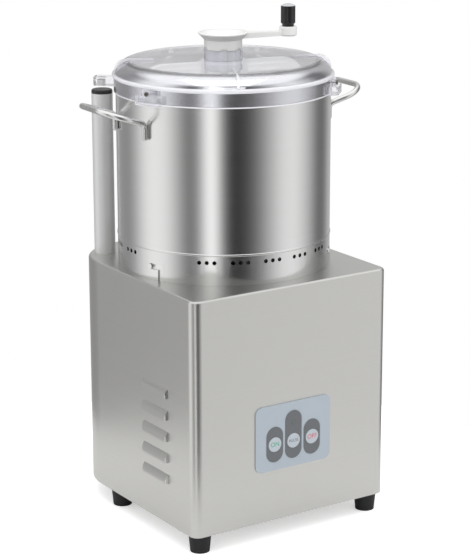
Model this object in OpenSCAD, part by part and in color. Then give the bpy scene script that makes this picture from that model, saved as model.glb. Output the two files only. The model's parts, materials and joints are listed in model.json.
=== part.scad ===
// Vertical bowl food cutter: a steel motor housing on rubber feet, a lift-off
// bowl with sickle knives, and a clear lid with a hand-turned wall scraper.
// The origin lies on the bowl axis at table level. X points right, Z points up,
// and the control panel faces minus Y. Every size is in millimetres.

/* [Piece to draw] */
// One piece by name, or all of them

/* [Housing] */
// Width of the housing, side to side
housing_w = 322; // [310:1:360]
// Depth of the housing, front to rear
housing_d = 345; // [330:1:380]
// Height of the housing above its open bottom edge
housing_h = 334; // [320:1:380]
// Height of the housing's bottom edge above the table
leg_h = 26; // [15:1:40]
// Thickness of the stainless sheet
sheet = 1.5; // [1:0.1:2]
// Radius of the two front upright corners
front_corner_r = 13; // [10:1:25]
// Radius of the two rear upright corners
rear_corner_r = 90; // [60:1:100]
// Radius of the fold between the walls and the top plate
fold_r = 4; // [3:0.5:6]
// Flat strip inside the fold that overlaps the top plate
fold_land = 2; // [1:0.5:4]

/* [Louvres] */
// Number of pressed louvres on each side wall
louvre_count = 5; // [1:1:6]
// Height between two louvres
louvre_pitch = 30.8; // [24:0.2:34]
// Height of the lowest louvre's open edge
louvre_z = 85.7; // [60:0.1:100]
// Middle of the louvres, from the bowl axis towards the front
louvre_y = 74; // [60:1:90]
// Length of a louvre
louvre_len = 64; // [50:1:80]
// Height of a louvre
louvre_h = 13.5; // [10:0.5:16]
// How far a louvre's lip stands out from the wall
louvre_out = 6; // [4:0.5:8]

/* [Feet] */
// Diameter of a foot where it meets the housing
foot_top_d = 32; // [28:1:36]
// Diameter of a foot on the table
foot_bottom_d = 27; // [22:1:30]
// Distance of the feet's middles from the housing's sides
foot_side_in = 20; // [18:1:30]
// Distance of the front feet's middles from the housing's front
foot_front_in = 19; // [18.5:0.5:30]
// Distance of the rear feet's middles from the housing's rear
foot_rear_in = 116.5; // [60:0.5:130]
// Diameter of the screw recess in a foot
foot_recess_d = 13; // [12:0.5:15]
// Depth of the screw recess in a foot
foot_recess_h = 10; // [8:1:14]
// Thickness of the base plate
base_plate_t = 2; // [1.5:0.5:4]
// Diameter of an air hole in the base plate
intake_d = 14; // [8:1:16]
// Number of air holes in each ring of the base plate
intake_count = 10; // [6:1:12]

/* [Panel] */
// Width of the control panel
panel_w = 125; // [118:1:140]
// Height of the control panel
panel_h = 94.5; // [90:0.5:110]
// Height of the panel's lower edge above the table
panel_z = 100; // [90:1:120]
// Thickness of the control panel
panel_t = 1.6; // [1.2:0.1:2]
// Corner radius of the control panel
panel_corner_r = 10; // [6:1:14]
// Height of the three keys above the table
key_z = 137.8; // [130:0.1:145]
// Sideways distance between two keys
key_pitch = 31.2; // [30:0.1:36]
// Diameter of a key
key_d = 21; // [18:0.5:22]
// Gap around a key
key_gap = 0.25; // [0.2:0.05:0.5]
// Travel of a key
key_travel = 1.2; // [0.8:0.1:1.2]
// Thickness of a key's face
key_t = 1.2; // [0.8:0.1:1.4]
// Diameter of a key's stem
key_stem_d = 6; // [5:0.5:8]
// How far a key's face stands in front of its bezel
key_proud = 0.4; // [0.2:0.1:0.8]
// Width of the pill-shaped bezels
bezel_w = 27.4; // [26:0.1:29]
// Thickness of the bezels
bezel_t = 0.6; // [0.4:0.1:1]
// Height of the bezels' lower ends above the table
bezel_z = 112; // [108:1:114]
// Length of the two outer bezels
bezel_side_h = 51.3; // [48:0.1:60]
// Length of the middle bezel
bezel_mid_h = 69.8; // [60:0.1:76]
// Diameter of the signal lamp
lamp_d = 6; // [4:0.5:8]
// Height of the signal lamp above the table
lamp_z = 163.6; // [160:0.1:168]

/* [Bowl] */
// Outer diameter of the bowl
bowl_d = 300; // [290:1:306]
// Wall thickness of the bowl
bowl_wall = 1.5; // [1:0.1:2]
// Height of the bowl floor's underside above the housing
bowl_floor_h = 44.5; // [42:0.5:50]
// Height of the bowl's rim above the housing
bowl_rim_h = 283.6; // [270:0.1:300]
// Radius of the rounded shoulder under the rim
rim_r = 18.9; // [16:0.1:18.9]
// Radius of the rim's inward curl
curl_r = 2.5; // [2.2:0.1:3]
// Height of the rim's inner lip, from its lower edge to the rim's top
lip_h = 7.6; // [6:0.1:10]
// Inner diameter of the chimney round the drive shaft
chimney_d = 42; // [41:1:47]
// Height of the chimney above the bowl floor's underside
chimney_h = 38; // [30:1:40]

/* [Skirt and bayonet] */
// Wall thickness of the skirt under the bowl
skirt_wall = 2; // [1.5:0.1:2.5]
// Diameter of the bead between skirt and bowl
bead_d = 3.6; // [3:0.1:4]
// Number of bayonet pins
pin_count = 3; // [3:1:3]
// Bearing of the first bayonet pin
pin_at = -165; // [-170:1:-160]
// Diameter of a bayonet pin
pin_d = 7; // [6:0.5:8]
// Height of the bayonet pins above the housing
pin_h = 19; // [15:0.5:22]
// How far a pin stands out of the skirt
pin_proud = 2; // [1:0.5:3]
// Width of a bayonet slot
slot_w = 8; // [7.5:0.1:9]
// Turn of the bowl from locked to lift-off
slot_turn = 6.6; // [5:0.1:8]
// Outer diameter of the locating ring inside the skirt
locating_ring_t = 8; // [6:1:10]
// Height of the locating ring
locating_ring_h = 26; // [24:1:28]
// Diameter of a vent hole in the skirt
vent_d = 5.7; // [4:0.1:6.5]
// Height of the vent holes above the housing
vent_h = 32.4; // [31:0.1:35]
// Groups of vent holes between two pins
vent_groups = 5; // [1:1:5]
// Angle between two groups of vent holes
vent_group_turn = 17.6; // [16:0.1:18]
// Angle from a pin to its first group of vent holes
vent_first = 33; // [30:0.5:35]
// Angle between two holes of a group
vent_turn = 4; // [3:0.1:5]

/* [Handles] */
// Diameter of the handle rod
rod_d = 8; // [6:0.5:9]
// Bearing of the right handle
handle_at = -2.7; // [-4:0.1:0]
// Half the distance between a handle's legs
handle_half = 43; // [38:1:48]
// Half width of the bow at its outer corners
bow_half = 56; // [50:1:60]
// Reach of the bow outwards from the legs
bow_reach = 62; // [50:1:70]
// Rise angle of the bow
bow_rise = 18.4; // [10:0.1:25]
// Radius of the bow's rounded corners
bow_r = 31; // [25:1:33]
// Radius of the bend from leg to bow
bend_r = 9; // [8:0.5:12]
// Depth of the bend from leg to bow below the bowl's rim
handle_drop = 67.6; // [60:0.1:72]
// Length of a leg below the bend
handle_leg = 23; // [20:1:36]

/* [Safety post] */
// Diameter of the post beside the bowl
post_d = 30; // [26:1:30]
// Wall thickness of the post
post_wall = 1.5; // [1:0.1:2]
// Clearance between the post's cap and the lid's edge
post_gap = 6.2; // [4:0.1:12]
// Height of the post's plastic cap above its tube
post_cap_h = 5.6; // [4:0.1:6]
// Edge radius of the post's cap
post_cap_r = 2.5; // [2:0.1:4]
// Place of the post, to the left of the bowl axis
post_x = 121; // [119:1:124]
// Place of the post, behind the bowl axis
post_y = 128.7; // [126:0.1:132]

/* [Drive] */
// Diameter of the motor's casing
motor_d = 144; // [130:1:150]
// Wall thickness of the motor's casing
motor_wall = 6; // [5:1:8]
// Height of the motor's casing
motor_h = 192.5; // [180:0.5:200]
// Number of cooling fins on the motor's casing
fin_count = 18; // [8:1:24]
// Depth of a cooling fin
fin_out = 7; // [5:1:10]
// Thickness of a cooling fin
fin_t = 3; // [2:0.5:4]
// Diameter of the flange that hangs the motor
flange_d = 168; // [160:1:180]
// Thickness of the flange
flange_t = 8; // [6:1:10]
// Diameter of the flange's boss through the top plate
boss_d = 52; // [50:1:60]
// Height of the boss above the housing
boss_h = 12; // [10:1:16]
// Diameter of the spigot inside the bowl's chimney
spigot_d = 38; // [34:1:38]
// Height of the spigot above the housing
spigot_h = 76; // [70:1:78]
// Diameter of the drive shaft
shaft_d = 20; // [18:1:20]
// Diameter of the shaft's lower journal
journal_d = 17; // [15:1:17]
// Outer diameter of the upper bearing
upper_bearing_d = 40; // [40:1:42]
// Outer diameter of the lower bearing
lower_bearing_d = 35; // [35:1:40]
// Width of both bearings
bearing_w = 12; // [10:1:12]
// Inner diameter of the stator
stator_bore = 81; // [76:1:90]
// Height of the stator and rotor cores
core_h = 90; // [80:1:100]
// Height of the motor's end bell
end_bell_h = 12; // [12:1:16]
// Diameter of the cooling fan
fan_d = 124; // [110:1:128]
// Number of fan blades
fan_blades = 8; // [5:1:10]
// Height of the fan blades
fan_h = 14; // [10:1:16]
// Depth of the fan cowl
cowl_h = 56; // [54:1:60]

/* [Knives] */
// Outer diameter of the knife hub
hub_d = 62; // [60:1:66]
// Wall thickness of the knife hub round the chimney
hub_wall = 4; // [3:0.5:4.5]
// Height of the hub above its foot
hub_h = 62; // [58:1:66]
// Gap between the bowl floor and the hub's foot
hub_floor_gap = 2; // [1.5:0.5:3]
// Thickness of a blade
blade_t = 3; // [2:0.5:4]
// Radius of a blade's cutting edge
edge_r = 80; // [76:1:80]
// Distance of the cutting edge's centre from the shaft
edge_offset = 60; // [56:1:60]
// Radius of a blade's hollow back
back_r = 84; // [82:1:88]
// Offset of the hollow back's centre across the blade
back_offset = 40; // [36:1:44]
// Width of the bevel ground along the cutting edge
bevel_w = 9; // [6:1:12]
// Ring width of a blade's eye
eye_w = 11; // [9:1:14]
// Height between the two blades
blade_pitch = 30; // [24:1:32]
// Height of the locking knob above the hub
lock_knob_h = 26; // [20:1:30]
// Number of finger hollows in the locking knob
lobe_count = 6; // [5:1:8]
// Diameter of a finger hollow
lobe_d = 16; // [12:1:20]
// Diameter of the pin that drives the hub
drive_pin_d = 6; // [5:1:8]

/* [Lid] */
// Outer diameter of the lid's skirt
lid_d = 305; // [304.5:0.1:306]
// Clearance between the bowl's rim and the lid's flat top
lid_rim_gap = 0.1; // [0.1:0.1:2]
// Depth of the lid from its flat top to the skirt's edge
lid_depth = 42.8; // [40:0.1:46]
// Thickness of the lid's flat top
lid_t = 2.8; // [2.4:0.1:3.2]
// Outer radius of the lid's rounded shoulder
lid_shoulder_r = 23.5; // [22:0.1:24]
// Inner radius of the lid's rounded shoulder
lid_inner_shoulder_r = 19.5; // [19.5:0.1:20.5]
// Diameter of the bead round the lid
lid_bead_d = 6; // [5:0.1:6.5]
// Depth of the bead's middle below the flat top
lid_bead_drop = 20; // [19:0.1:21]
// Outer diameter of the lid's collar
collar_d = 54; // [53.5:0.1:56]
// Inner diameter of the lid's collar
collar_bore = 49; // [48:0.1:50]
// Height of the collar above the flat top
collar_h = 14.5; // [12:0.1:16]
// Number of stiffening fins on the lid
lid_fin_count = 4; // [4:1:4]
// Bearing of the first fin
lid_fin_at = -25.5; // [-30:0.5:-20]
// Thickness of a fin
lid_fin_t = 3; // [2:0.5:4]
// Distance of a fin's inner end from the axis
lid_fin_from = 96; // [90:1:100]
// Height of a fin above the flat top
lid_fin_h = 3.5; // [2.5:0.1:5]
// Radius of a fin's outer corner
lid_fin_r = 18; // [15:0.5:19]
// Bearing of the left lid catch
catch_left_at = -163; // [-164:1:-160]
// Bearing of the right lid catch
catch_right_at = -45; // [-50:1:-40]
// Bearing of the rear lid catch
catch_rear_at = 76; // [70:1:80]
// Width of a catch's upper block
catch_upper_w = 26; // [22:1:30]
// Height of a catch's upper block
catch_upper_h = 9.3; // [8:0.1:10]
// Distance of an upper block's face from the axis
catch_upper_out = 159; // [157:0.5:161]
// Width of a catch's lower block
catch_lower_w = 40; // [36:1:44]
// Height of a catch's lower block
catch_lower_h = 11.7; // [10:0.1:13]
// Distance of a lower block's face from the axis
catch_lower_out = 164; // [162:0.5:166]
// Corner radius of the blocks
catch_corner_r = 5; // [3:0.5:6]
// Diameter of a catch screw's head
catch_screw_d = 6; // [5:0.5:7]
// Width of the magnet's block
magnet_block_w = 24; // [20:1:28]
// Height of the magnet's block
magnet_block_h = 12; // [10:0.5:14]
// Distance of the magnet block's outer end from the axis
magnet_block_out = 187; // [185:1:190]
// Diameter of the magnet over the post
magnet_d = 12; // [8:1:14]
// Height of the magnet
magnet_h = 8; // [5:1:9]

/* [Scraper] */
// Bearing of the scraper's right arm
arm_at = -12; // [-20:1:0]
// Inner diameter of the feed tube
tube_bore = 44; // [42:0.5:46]
// Depth of the feed tube below the lid's flat top
tube_drop = 34; // [30:1:40]
// Outer diameter of the scraper hub
scraper_hub_d = 68; // [64:1:72]
// Chamfer at the top of the scraper hub
hub_chamfer = 3; // [2:0.5:4]
// Distance of the arms' outer face from the axis
arm_out = 119; // [112:0.5:120]
// Depth of an arm's upper beam
arm_h = 17; // [14:0.5:20]
// Corner radius of an arm
arm_corner_r = 30; // [24:1:36]
// Length of an arm's upright
arm_leg_h = 121; // [100:1:125]
// Width of an arm's ribs
arm_rib_w = 10; // [8:0.5:12]
// Thickness of an arm between its ribs
arm_web_t = 4; // [3:0.5:6]
// Height of one rib
arm_rib_h = 2.6; // [2:0.1:3]
// Thickness of a wiper strip
wiper_t = 1.5; // [1:0.1:1.6]
// Width of a wiper strip
wiper_w = 6; // [4:0.5:8]
// Length of a wiper strip
wiper_h = 86; // [60:1:88]

/* [Crank] */
// Bearing of the crank arm
crank_at = -30; // [-40:1:-20]
// Diameter of the funnel's rim
funnel_d = 69.2; // [66:0.1:72]
// Height of the funnel's rim above the lid's flat top
funnel_h = 38; // [36:0.1:40]
// Thickness of the funnel's rolled rim
funnel_rim_d = 3.4; // [3:0.1:4]
// Diameter of the head's neck
neck_d = 53; // [52:0.1:54]
// Height of the neck above the collar
neck_h = 13; // [12:0.1:14]
// Number of snap fingers under the neck
finger_count = 3; // [2:1:4]
// Bearing of the first snap finger
finger_at = -95; // [-100:1:-90]
// Angle covered by a snap finger
finger_turn = 30; // [25:1:35]
// Width of a notch beside a finger
notch_w = 9.5; // [8:0.5:11]
// Height of a notch beside a finger
notch_h = 2.4; // [2:0.1:4]
// Width of the slits beside the fingers
slit_w = 1.2; // [1:0.1:2]
// Distance of the knob's pin from the bowl axis
crank_r = 90; // [80:1:95]
// Diameter of the boss under the knob
boss_end_d = 24.7; // [22:0.1:26]
// Height of the boss under the knob
boss_end_h = 13; // [11:0.1:14]
// Height of the boss's underside above the lid's flat top
boss_end_z = 31.5; // [30:0.1:33]
// Width of the crank arm at the funnel
arm_root_w = 20; // [18:0.5:24]
// Width of the crank arm at its boss
arm_tip_w = 15; // [12:0.5:18]
// Thickness of the crank arm at the funnel
arm_root_t = 8.5; // [7:0.1:10]
// Thickness of the crank arm at its boss
arm_tip_t = 4.6; // [4:0.1:6]
// Diameter of the knob
knob_d = 20.2; // [18:0.1:22]
// Height of the knob with its neck and cap
knob_h = 31.4; // [28:0.1:34]
// Height of the knob's domed cap
knob_cap_h = 3.1; // [2:0.1:4]
// Height of the knob's narrow neck
knob_neck_h = 2.4; // [2:0.1:3]
// Diameter of the crank pin
crank_pin_d = 8; // [6:0.5:9]

/* [Fits] */
// Radial clearance of a running fit
run_gap = 0.08; // [0.05:0.01:0.1]
// Gap between two faces that only rest on each other
seat_gap = 0.1; // [0.05:0.05:0.2]
// Free gap between pieces that pass each other
free_gap = 0.3; // [0.3:0.05:0.5]
// Overshoot of a cutting solid
cut = 1; // [1:1:1]

/* [Hidden] */

$fn = 96;
// Facets of small round features
small_fn = 32;

steel = [0.74, 0.73, 0.71];
bright_steel = [0.82, 0.82, 0.81];
dark_steel = [0.45, 0.46, 0.47];
cast_alu = [0.66, 0.67, 0.68];
rubber_black = [0.07, 0.07, 0.08];
plastic_black = [0.12, 0.12, 0.13];
plastic_white = [0.92, 0.92, 0.91];
plastic_milk = [0.82, 0.85, 0.90];
clear = [0.80, 0.86, 0.95, 0.35];
panel_blue = [0.69, 0.73, 0.76];
bezel_grey = [0.41, 0.42, 0.44];
copper = [0.72, 0.42, 0.24];
board_green = [0.10, 0.36, 0.22];

// Heights of the main levels above the table
top_z = leg_h + housing_h;
bowl_z = top_z + bowl_floor_h;
rim_z = top_z + bowl_rim_h;
lid_z = rim_z + lid_rim_gap + lid_t;
lid_under_z = lid_z - lid_t;
lid_edge_z = lid_z - lid_depth;
post_h = lid_edge_z - post_gap - post_cap_h - top_z;
collar_z = lid_z + collar_h;
pin_z = top_z + pin_h;
front_y = -housing_d / 2;
bowl_r = bowl_d / 2;
skirt_bore_r = bowl_r - skirt_wall;
ring_r = skirt_bore_r - run_gap;
lid_r = lid_d / 2;
lid_bore_r = bowl_r + free_gap;
tube_r = collar_bore / 2 - run_gap;
pin_turn = 360 / pin_count;
finger_step = 360 / finger_count;

// Quarter of a ring in the plane, in the first quadrant
module quarter_ring(outer_r, inner_r) {
  difference() {
    intersection() {
      circle(outer_r);
      square(outer_r);
    }
    circle(inner_r);
  }
}

// Upright stadium with full-round ends, its lower end on the X axis
module pill(width, height) {
  translate([0, width / 2]) circle(width / 2);
  translate([0, height - width / 2]) circle(width / 2);
  translate([-width / 2, width / 2]) square([width, height - width]);
}

// Rectangle with rounded corners, centred sideways and resting on the X axis
module soft_rect(width, height, r) {
  for (x = [r - width / 2, width / 2 - r], y = [r, height - r])
    translate([x, y]) circle(r);
  translate([-width / 2, r]) square([width, height - 2 * r]);
  translate([r - width / 2, 0]) square([width - 2 * r, height]);
}

// Flat ring or disc standing on the given height
module ring(outer_r, inner_r, low, high) {
  translate([0, 0, low])
    linear_extrude(high - low)
      difference() {
        circle(outer_r);
        if (inner_r > 0) circle(inner_r);
      }
}

// Solid turned towards minus Y, standing on the front face
module at_front(x, z, y) {
  translate([x, y, z]) rotate([90, 0, 0]) children();
}

// Outline of the housing in plan, drawn in from the outer faces
module plan_outline(inset) {
  w = housing_w / 2 - inset;
  d = housing_d / 2 - inset;
  rf = front_corner_r - inset;
  rr = rear_corner_r - inset;
  for (s = [-1, 1]) {
    translate([s * (w - rf), rf - d]) circle(rf);
    translate([s * (w - rr), d - rr]) circle(rr);
  }
  translate([rf - w, -d]) square([2 * (w - rf), 2 * d - rr]);
  translate([-w, rf - d]) square([2 * w, 2 * d - rf - rr]);
  translate([rr - w, -d + rf]) square([2 * (w - rr), 2 * d - rf]);
}

// Section through wall, fold and the edge of the top plate; outer face at zero
module edge_section() {
  translate([-sheet, leg_h]) square([sheet, housing_h - fold_r]);
  translate([-fold_r, top_z - fold_r]) quarter_ring(fold_r, fold_r - sheet);
  translate([-fold_r - fold_land, top_z - sheet]) square([fold_land, sheet]);
}

// Straight stretch of wall along Y with its outer face towards plus X
module wall_run(length) {
  rotate([90, 0, 0]) linear_extrude(length, center = true) edge_section();
}

// Quarter turn of wall round an upright corner
module wall_corner(r, start) {
  rotate_extrude(angle = 90, start = start) translate([r, 0]) edge_section();
}

// Radius of the arc that gives a louvre its height and its lip
louvre_r = (louvre_out * louvre_out + louvre_h * louvre_h) / (2 * louvre_out);
// Radius of a louvre's rounded ends in plan, as a share of its reach
louvre_end_share = 1.1;

// Louvre in plan, reaching back into the wall
module scoop_plan(inset, back) {
  end_r = louvre_out * louvre_end_share - inset;
  half = louvre_len / 2 - inset;
  intersection() {
    union() {
      for (s = [-1, 1]) translate([0, s * (half - end_r)]) circle(end_r);
      translate([-back, -half]) square([back, 2 * half]);
      translate([-back, end_r - half]) square([back + end_r, 2 * (half - end_r)]);
    }
    translate([-back, -half]) square([back + end_r, 2 * half]);
  }
}

// Louvre as a solid scoop towards plus X, its open edge at zero height
module scoop(inset, back) {
  intersection() {
    translate([louvre_out - louvre_r, 0, 0])
      rotate([90, 0, 0]) cylinder(h = louvre_len + cut, r = louvre_r - inset, center = true);
    linear_extrude(louvre_r) scoop_plan(inset, back);
  }
}

// All louvres of both side walls
module at_louvres() {
  for (side = [0, 1], i = [0 : louvre_count - 1])
    mirror([side, 0, 0])
      translate([housing_w / 2, -louvre_y, louvre_z + i * louvre_pitch])
        children();
}

module housing() {
  w = housing_w / 2;
  d = housing_d / 2;
  color(steel)
    difference() {
      union() {
        translate([0, -d, 0])
          rotate([0, 0, -90]) wall_run(2 * (w - front_corner_r));
        translate([0, d, 0])
          rotate([0, 0, 90]) wall_run(2 * (w - rear_corner_r));
        for (turn = [0, 180])
          translate([turn == 0 ? w : -w, (front_corner_r - rear_corner_r) / 2, 0])
            rotate([0, 0, turn]) wall_run(housing_d - front_corner_r - rear_corner_r);
        translate([w - front_corner_r, front_corner_r - d, 0]) wall_corner(front_corner_r, -90);
        translate([front_corner_r - w, front_corner_r - d, 0]) wall_corner(front_corner_r, 180);
        translate([w - rear_corner_r, d - rear_corner_r, 0]) wall_corner(rear_corner_r, 0);
        translate([rear_corner_r - w, d - rear_corner_r, 0]) wall_corner(rear_corner_r, 90);
        translate([0, 0, top_z - sheet])
          linear_extrude(sheet) plan_outline(fold_r + fold_land / 2);
        at_louvres() scoop(0, sheet / 2);
      }
      at_louvres() scoop(sheet, sheet + cut);
      translate([0, 0, top_z - sheet - cut])
        cylinder(h = sheet + 2 * cut, d = boss_d);
      at_flange_screws(top_z - sheet - cut)
        cylinder(h = sheet + 2 * cut, d = flange_screw_d, $fn = small_fn);
      for (x = [-key_pitch, 0, key_pitch])
        at_front(x, key_z, front_y + sheet + cut)
          cylinder(h = sheet + 2 * cut, d = key_stem_d + 2 * run_gap, $fn = small_fn);
      at_front(0, lamp_z, front_y + sheet + cut)
        cylinder(h = sheet + 2 * cut, d = lamp_d, $fn = small_fn);
      at_gland(cut)
        cylinder(h = sheet + 2 * cut, d = gland_thread_d);
    }
}

module base_plate() {
  color(steel)
    difference() {
      translate([0, 0, leg_h]) linear_extrude(base_plate_t) plan_outline(sheet);
      at_feet() translate([0, 0, leg_h - cut])
        cylinder(h = base_plate_t + 2 * cut, d = foot_screw_d, $fn = small_fn);
      for (i = [0 : intake_count - 1])
        rotate([0, 0, i * 360 / intake_count])
          for (r = [fan_d / 4, fan_d / 2])
            translate([r, 0, leg_h - cut])
              cylinder(h = base_plate_t + 2 * cut, d = intake_d * (r < fan_d / 3 ? 0.6 : 1));
      capacitor_place()
        translate([0, 0, -base_plate_t - cut])
          cylinder(h = base_plate_t + 2 * cut, d = capacitor_stud_d, $fn = small_fn);
    }
}

// Screw through a foot
foot_x = housing_w / 2 - foot_side_in;
foot_front_y = housing_d / 2 - foot_front_in;
foot_rear_y = housing_d / 2 - foot_rear_in;
foot_screw_d = 6;
foot_screw_head_d = 11;
foot_screw_head_h = 4;

module at_feet() {
  for (x = [-foot_x, foot_x], y = [-foot_front_y, foot_rear_y])
    translate([x, y, 0]) children();
}

module foot(x, y) {
  color(rubber_black)
    translate([x, y, 0])
      difference() {
        cylinder(h = leg_h, d1 = foot_bottom_d, d2 = foot_top_d);
        translate([0, 0, -cut]) cylinder(h = foot_recess_h + cut, d = foot_recess_d);
        cylinder(h = leg_h + cut, d = foot_screw_d, $fn = small_fn);
      }
}

module foot_screws() {
  color(bright_steel)
    at_feet()
      translate([0, 0, foot_recess_h]) {
        translate([0, 0, -foot_screw_head_h])
          difference() {
            cylinder(h = foot_screw_head_h, d = foot_screw_head_d);
            translate([0, 0, -cut])
              cylinder(h = foot_screw_head_h / 2 + cut, d = foot_screw_d, $fn = 6);
          }
        cylinder(h = leg_h - foot_recess_h + 2 * foot_screw_head_h, d = foot_screw_d, $fn = small_fn);
      }
}

module control_panel() {
  color(panel_blue)
    difference() {
      at_front(0, panel_z, front_y)
        linear_extrude(panel_t) soft_rect(panel_w, panel_h, panel_corner_r);
      at_keys(front_y + cut) cylinder(h = panel_t + 2 * cut, d = key_d + 2 * key_gap);
      at_front(0, lamp_z, front_y + cut)
        cylinder(h = panel_t + 2 * cut, d = lamp_d, $fn = small_fn);
    }
}

// Places of the three keys, turned towards the front
module at_keys(y) {
  for (x = [-key_pitch, 0, key_pitch]) at_front(x, key_z, y) children();
}

bezel_y = front_y - panel_t;

module key_bezels() {
  color(bezel_grey)
    difference() {
      at_front(0, bezel_z, bezel_y)
        linear_extrude(bezel_t) {
          for (x = [-key_pitch, key_pitch]) translate([x, 0]) pill(bezel_w, bezel_side_h);
          pill(bezel_w, bezel_mid_h);
        }
      at_keys(bezel_y + cut) cylinder(h = bezel_t + 2 * cut, d = key_d + 2 * key_gap);
      at_front(0, lamp_z, bezel_y + cut)
        cylinder(h = bezel_t + 2 * cut, d = lamp_d, $fn = small_fn);
    }
}

key_y = bezel_y - bezel_t - key_proud;
stem_end_y = front_y + sheet + 2 * key_travel;

module key(x) {
  color(bezel_grey) {
    at_front(x, key_z, key_y + key_t) cylinder(h = key_t, d = key_d);
    at_front(x, key_z, stem_end_y)
      cylinder(h = stem_end_y - key_y - key_t / 2, d = key_stem_d, $fn = small_fn);
  }
}

module signal_lamp() {
  color([0.85, 0.86, 0.84])
    at_front(0, lamp_z, board_y)
      cylinder(h = board_y - bezel_y + bezel_t + key_proud / 2, d = lamp_d, $fn = small_fn);
}

// Board behind the panel and the switches that the key stems press
board_t = 1.6;
board_w = 100;
board_h = 80;
switch_w = 12;
switch_gap = key_travel + free_gap;
switch_h = 4;
spacer_d = 6;
board_y = stem_end_y + switch_gap + switch_h;

module control_board() {
  color(board_green)
    difference() {
      union() {
        translate([-board_w / 2, board_y, panel_z]) cube([board_w, board_t, board_h]);
        for (x = [-1, 1], z = [0, 1])
          at_front(x * (board_w / 2 - spacer_d), panel_z + spacer_d + z * (board_h - 2 * spacer_d), board_y)
            cylinder(h = board_y - front_y - sheet, d = spacer_d, $fn = small_fn);
      }
    }
}

module key_switches() {
  color(plastic_black)
    for (x = [-key_pitch, 0, key_pitch])
      translate([x - switch_w / 2, board_y - switch_h, key_z - switch_w / 2])
        cube([switch_w, switch_h, switch_w]);
}

capacitor_d = 40;
capacitor_h = 80;
capacitor_stud_d = 8;
capacitor_x = 112;
capacitor_y = 110;

module capacitor_place() {
  translate([-capacitor_x, -capacitor_y, leg_h + base_plate_t]) children();
}

module run_capacitor() {
  color(plastic_black)
    capacitor_place() {
      cylinder(h = capacitor_h, d = capacitor_d);
      translate([0, 0, -base_plate_t]) cylinder(h = base_plate_t, d = capacitor_stud_d, $fn = small_fn);
      for (s = [-1, 1])
        translate([s * capacitor_d / 4, 0, capacitor_h])
          cylinder(h = capacitor_stud_d, d = capacitor_stud_d / 2, $fn = small_fn);
    }
}

// Gland for the mains cord on the rear wall
gland_x = 45;
gland_z = 62;
gland_d = 30;
gland_out = 2.6;
gland_thread_d = 20;
gland_bore_d = 9;
gland_in = 16;

module at_gland(back) {
  translate([gland_x, housing_d / 2 - sheet - back, gland_z]) rotate([-90, 0, 0]) children();
}

module cable_gland() {
  color(plastic_black)
    difference() {
      union() {
        translate([gland_x, housing_d / 2, gland_z])
          rotate([-90, 0, 0]) cylinder(h = gland_out, d = gland_d);
        at_gland(gland_in) cylinder(h = gland_in + sheet, d = gland_thread_d);
        at_gland(gland_in / 2) cylinder(h = gland_in / 2, d = gland_d, $fn = 6);
      }
      at_gland(gland_in + cut) cylinder(h = gland_in + sheet + gland_out + 2 * cut, d = gland_bore_d);
    }
}

// Motor: levels, from the flange under the top plate downwards
flange_z = top_z - sheet - flange_t;
casing_z = flange_z - motor_h;
bell_z = casing_z - end_bell_h;
core_z = casing_z + (motor_h - core_h) / 2;
upper_bearing_z = top_z - bearing_w / 2;
seal_h = 6;
seal_d = 30;
flange_screw_d = 8;
flange_screw_head_d = 13;
flange_screw_head_h = 5;
flange_screw_r = 68;

module at_flange_screws(z) {
  for (a = [45 : 90 : 315]) rotate([0, 0, a]) translate([flange_screw_r, 0, z]) children();
}

module motor_flange() {
  spigot_bore = shaft_d + 6 * free_gap;
  color(cast_alu)
    difference() {
      union() {
        ring(flange_d / 2, 0, flange_z, top_z - sheet);
        ring(boss_d / 2, 0, top_z - sheet, top_z + boss_h);
        ring(spigot_d / 2, 0, top_z + boss_h, top_z + spigot_h);
      }
      translate([0, 0, flange_z - cut])
        cylinder(h = upper_bearing_z + bearing_w - flange_z + cut, d = upper_bearing_d);
      cylinder(h = top_z + spigot_h + cut, d = spigot_bore);
      translate([0, 0, top_z + spigot_h - seal_h]) cylinder(h = seal_h + cut, d = seal_d);
      at_flange_screws(flange_z - cut)
        cylinder(h = flange_t + 2 * cut, d = flange_screw_d, $fn = small_fn);
    }
}

module flange_screws() {
  color(bright_steel)
    at_flange_screws(flange_z)
      difference() {
        union() {
          cylinder(h = flange_t + sheet, d = flange_screw_d, $fn = small_fn);
          translate([0, 0, flange_t + sheet]) cylinder(h = flange_screw_head_h, d = flange_screw_head_d);
        }
        translate([0, 0, flange_t + sheet + flange_screw_head_h / 2])
          cylinder(h = flange_screw_head_h, d = flange_screw_d * 0.8, $fn = 6);
      }
}

module motor_casing() {
  color(cast_alu) {
    ring(motor_d / 2, motor_d / 2 - motor_wall, casing_z, flange_z);
    for (i = [0 : fin_count - 1])
      rotate([0, 0, i * 360 / fin_count])
        translate([motor_d / 2 - motor_wall / 2, -fin_t / 2, casing_z + end_bell_h * 2])
          cube([motor_wall / 2 + fin_out, fin_t, motor_h - 2 * end_bell_h - flange_t * 2]);
  }
}

module motor_end_bell() {
  color(cast_alu)
    difference() {
      ring(motor_d / 2, 0, bell_z, casing_z);
      translate([0, 0, bell_z - cut]) cylinder(h = end_bell_h + 2 * cut, d = lower_bearing_d);
    }
}

module stator_core() {
  color(dark_steel) ring(motor_d / 2 - motor_wall, stator_bore / 2, core_z, core_z + core_h);
}

winding_h = 22;

module stator_windings() {
  outer_r = motor_d / 2 - motor_wall - 4 * free_gap;
  inner_r = stator_bore / 2 + 4 * free_gap;
  color(copper)
    for (z = [core_z - winding_h, core_z + core_h])
      translate([0, 0, z])
        rotate_extrude()
          translate([(outer_r + inner_r) / 2, 0])
            soft_rect(outer_r - inner_r, winding_h, winding_h / 4);
}

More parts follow.
